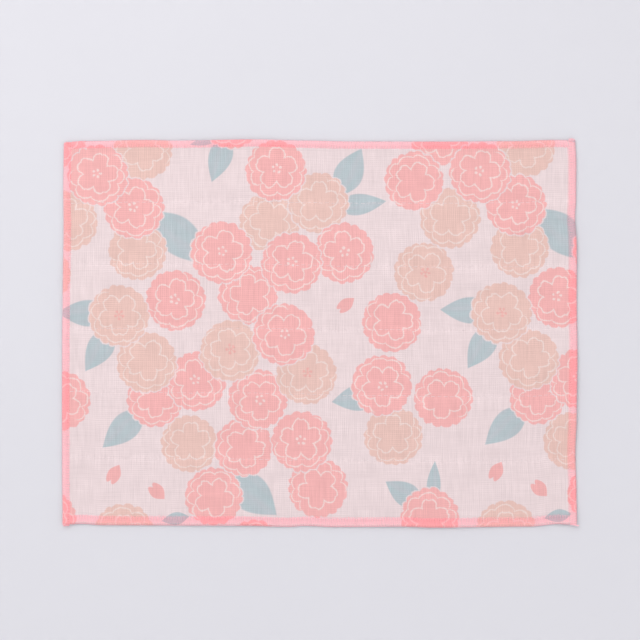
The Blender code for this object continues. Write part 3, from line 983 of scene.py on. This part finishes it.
def gauze_material(groups):
    """Printed cotton gauze, plain woven with open gaps, one layer seen through the other.

    Matt, with a soft sheen at a flat angle, and a fine square mesh under the eye.
    """
    material, tree, shader = new_material("printed_cotton_gauze", 0.92, sheen=0.15, specular=0.15)
    add = functools.partial(node, tree)
    times, times_plus = products(tree)
    cut = stored(tree, "cut_place")
    x, y, upper = add("SeparateXYZ", (cut,)).node.outputs

    # The weave: a smoothed cosine for each run of threads, faded in patches.
    layers = []
    for turn, shift in WEAVE_LAYERS:
        across = times_plus(x, 1 / WEAVE, shift)
        across = times_plus(y, turn / WEAVE, across)
        upward = times_plus(y, 1 / WEAVE, shift)
        upward = times_plus(x, -turn / WEAVE, upward)
        ridges = []
        for run in (across, upward):
            wave = add("Math:COSINE", (times(run, 2 * math.pi),))
            ridge = add("MapRange", {"Value": wave, "From Min": 0.0, "From Max": 0.9},
                        interpolation_type="SMOOTHSTEP")
            patch = add("VectorMath:ADD", (cut, (17.0 * len(ridges), 31.0 * len(layers), 0.0)))
            patch = add("TexNoise", {"Vector": patch, "Scale": 0.07, "Detail": 1.0})
            patch = spread_out(tree, patch, NOISE_LOW, NOISE_HIGH)
            ridges.append(times(ridge, patch))
        layers.append(add("Math:MAXIMUM", ridges))
    first, second = layers

    # Slubs: single threads a little thicker or thinner, as long streaks both ways.
    streaks = []
    for squeeze in ((1.0, 0.045, 1.0), (0.04, 1.0, 1.0)):
        stretched = add("Mapping", {"Vector": cut, "Scale": squeeze})
        streaks.append(add("TexNoise", {"Vector": stretched, "Scale": 1.0, "Detail": 2.0}))
    upright, level = streaks
    slub = times_plus(level, 0.6, times_plus(upright, 1.0, -0.8))

    # Each row of stitches crowds the threads beside it into short upright ticks, which fade away
    # from it as a bell does. Their relief goes in the bump, and their pale streaks are painted
    # light.
    from_row = times(stored(tree, "row_distance", "Fac"), 1 / TICK_SPREAD)
    stretched = add("Mapping", {"Vector": cut, "Scale": (0.85, 0.16, 1.0)})
    ticks = add("TexNoise", {"Vector": stretched, "Scale": 1.0, "Detail": 1.0})
    ticks = spread_out(tree, ticks, NOISE_LOW, NOISE_HIGH, **{"To Min": -0.15})
    ticks = times(ticks, bell(tree, from_row))

    # A faint, broken line of painted shade runs beside each band, where the raised edging shades
    # the gauze.
    from_band = stored(tree, "band_distance", "Fac")
    from_shade_line = times_plus(from_band, 1 / SHADE_LINE_SPREAD, -SHADE_LINE_IN / SHADE_LINE_SPREAD)
    broken_line = spread_out(tree, add("Math:MAXIMUM", (upright, level)), 0.42, 0.62)
    shade_line = times(bell(tree, from_shade_line), broken_line)

    # The drawing's lines stray a little, as a brush does, and the open weave breaks the print.
    stray = add("TexNoise", {"Vector": cut, "Scale": 0.13, "Detail": 2.0}, "Color")
    stray = add("VectorMath:SUBTRACT", (stray, (0.5, 0.5, 0.5)))
    stray = add("VectorMath:MULTIPLY", (stray, (4 * WAVER, 4 * WAVER, 0.0)))
    broken = add("TexNoise", {"Vector": cut, "Scale": 0.8, "Detail": 1.0}, "Color")
    broken = add("VectorMath:SUBTRACT", (broken, (0.5, 0.5, 0.5)))
    broken = add("VectorMath:MULTIPLY_ADD", (broken, (1.2, 1.2, 0.0), stray))

    colour = print_colour(tree, groups, broken)

    # Under the edging the gauze takes on the pink of the threads that cross it.
    under_band = printed(tree, from_band, 0.2, -0.6)
    colour = mixed(tree, under_band, colour, UNDER_THREAD, blend_type="MULTIPLY")

    # The print shows through to the underside, faded.
    faded = mixed(tree, 0.5, colour, GROUND)
    colour = mixed(tree, upper, faded, colour)

    # Gaps between threads let the layers below through, with a touch of painted shade, and slubs
    # vary it.
    shade = times_plus(first, SHADE["first"], SHADE["gaps"])
    shade = times_plus(second, SHADE["second"], shade)
    shade = times_plus(slub, SHADE["slub"], shade)
    shade = times_plus(ticks, SHADE["ticks"], shade)
    shade = times_plus(shade_line, SHADE["shade_line"], shade)
    grey = add("CombineColor", (shade, shade, shade))
    colour = mixed(tree, 1.0, colour, grey, blend_type="MULTIPLY")
    tree.links.new(colour, shader.inputs["Base Color"])

    height = times_plus(second, 0.4, first)
    height = times_plus(slub, 0.8, height)
    height = times_plus(ticks, 1.2, height)
    bump = add("Bump", {"Strength": 0.35, "Distance": 0.12 * MM, "Height": height})
    tree.links.new(bump, shader.inputs["Normal"])
    return material


def thread_material(name, light, dark, roughness, groups=None):
    """Spun thread: matt, with each stretch a little lighter or darker than the next.

    The edging's threads are thinner than a pixel of the render, and the eye sees the print between
    them. They are drawn thicker, and so take on the print beneath, times a pink.
    """
    material, tree, shader = new_material(name, roughness, sheen=0.1, specular=0.2)
    place = node(tree, "TexCoord", output="Object")
    patches = node(tree, "TexNoise", {"Vector": place, "Scale": 900.0, "Detail": 2.0})
    colour = mixed(tree, spread_out(tree, patches, 0.3, 0.7), dark, light)
    if groups:
        beneath = print_colour(tree, groups)
        beneath = mixed(tree, 1.0, beneath, THROUGH_THREAD, blend_type="MULTIPLY",
                        clamp_result=True)
        colour = mixed(tree, PRINT_SEEN, colour, beneath)
    tree.links.new(colour, shader.inputs["Base Color"])
    fibres = node(tree, "TexNoise", {"Vector": place, "Scale": 9000.0, "Detail": 1.0})
    bump = node(tree, "Bump", {"Strength": 0.3, "Distance": 0.03 * MM, "Height": fibres})
    tree.links.new(bump, shader.inputs["Normal"])
    return material


def floor_material():
    """A matt pale board, faintly lavender. Light spreads in it, so that shadows end softly."""
    material, tree, shader = new_material("matt_pale_board", 0.9, specular=0.2)
    shader.inputs["Subsurface Weight"].default_value = 0.7
    shader.inputs["Subsurface Radius"].default_value = (1.0, 1.0, 1.0)
    shader.inputs["Subsurface Scale"].default_value = 3 * MM
    place = node(tree, "TexCoord", output="Object")
    mottle = node(tree, "TexNoise", {"Vector": place, "Scale": 5.0, "Detail": 2.0})
    colour = mixed(tree, mottle, linear("#CECDD1"), linear("#D0CFD3"))
    tree.links.new(colour, shader.inputs["Base Color"])
    return material


def add_floor():
    """The surface that the cloth lies on."""
    half = 2.0
    points = np.array([(-half, -half, 0), (half, -half, 0), (half, half, 0), (-half, half, 0)])
    floor = make_mesh("floor", points, np.array([[0, 1, 2, 3]]), floor_material())


LIGHTS = (
    # (name, place_m, size_m, power_w, colour)
    ("key", (-1.9, 2.0, 3.3), 1.3, 22.0, (1.0, 0.995, 0.99)),
    ("fill", (-0.6, 0.9, 1.0), 1.2, 7.5, (0.98, 0.985, 1.0)),
    ("reflector", (1.3, -1.3, 0.7), 1.2, 4.5, (1.0, 1.0, 1.0)),
)
ROOM_COLOUR = (0.975, 0.975, 1.0, 1.0)


def add_light(name, place, size, power, colour):
    """A square area light, turned to face the cloth's middle."""
    lamp = bpy.data.lights.new(name, "AREA")
    lamp.size = size
    lamp.energy = power
    lamp.color = colour
    light = bpy.data.objects.new(name, lamp)
    light.location = place
    light.rotation_mode = "QUATERNION"
    light.rotation_quaternion = (-Vector(place)).to_track_quat("-Z", "Y")
    bpy.context.scene.collection.objects.link(light)


def add_camera():
    """A camera straight above the middle of the photo's frame."""
    data = bpy.data.cameras.new("camera")
    data.lens, data.sensor_width = LENS, SENSOR
    data.clip_start, data.clip_end = 0.01, 20.0
    camera = bpy.data.objects.new("camera", data)
    height = VIEW_WIDTH * LENS / SENSOR
    camera.location = (VIEW_CENTRE[0] - MIDDLE[0], VIEW_CENTRE[1] - MIDDLE[1], height + 2 * MM)
    bpy.context.scene.collection.objects.link(camera)
    bpy.context.scene.camera = camera


def add_world():
    """Soft light from all round."""
    world = bpy.data.worlds.new("soft_room")
    world.use_nodes = True
    background = world.node_tree.nodes["Background"]
    background.inputs["Color"].default_value = ROOM_COLOUR
    background.inputs["Strength"].default_value = 1.0
    bpy.context.scene.world = world


def main():
    """Builds the cloth's pieces, the board they lie on, the camera and the lights."""
    add_camera()
    groups = flower_group(), leaf_group()
    panel = make_panel(gauze_material(groups))
    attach(panel, "root")
    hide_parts("gauze_panel")
    pink = thread_material("spun_pink_thread", linear("#FFBCC3"), linear("#FFA6B0"), 0.75, groups)
    white = thread_material("spun_white_thread", linear("#E8DDDD"), linear("#E2D6D6"), 0.8)
    for side in EDGINGS:
        edging = make_edging(side, pink)
        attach(edging, "root")
        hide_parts(f"edging_{side}")
    stitches = make_running_stitches(white)
    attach(stitches, "root")
    add_floor()
    add_world()
    for row in LIGHTS:
        add_light(*row)
    bpy.context.scene.view_settings.view_transform = "Standard"


main()
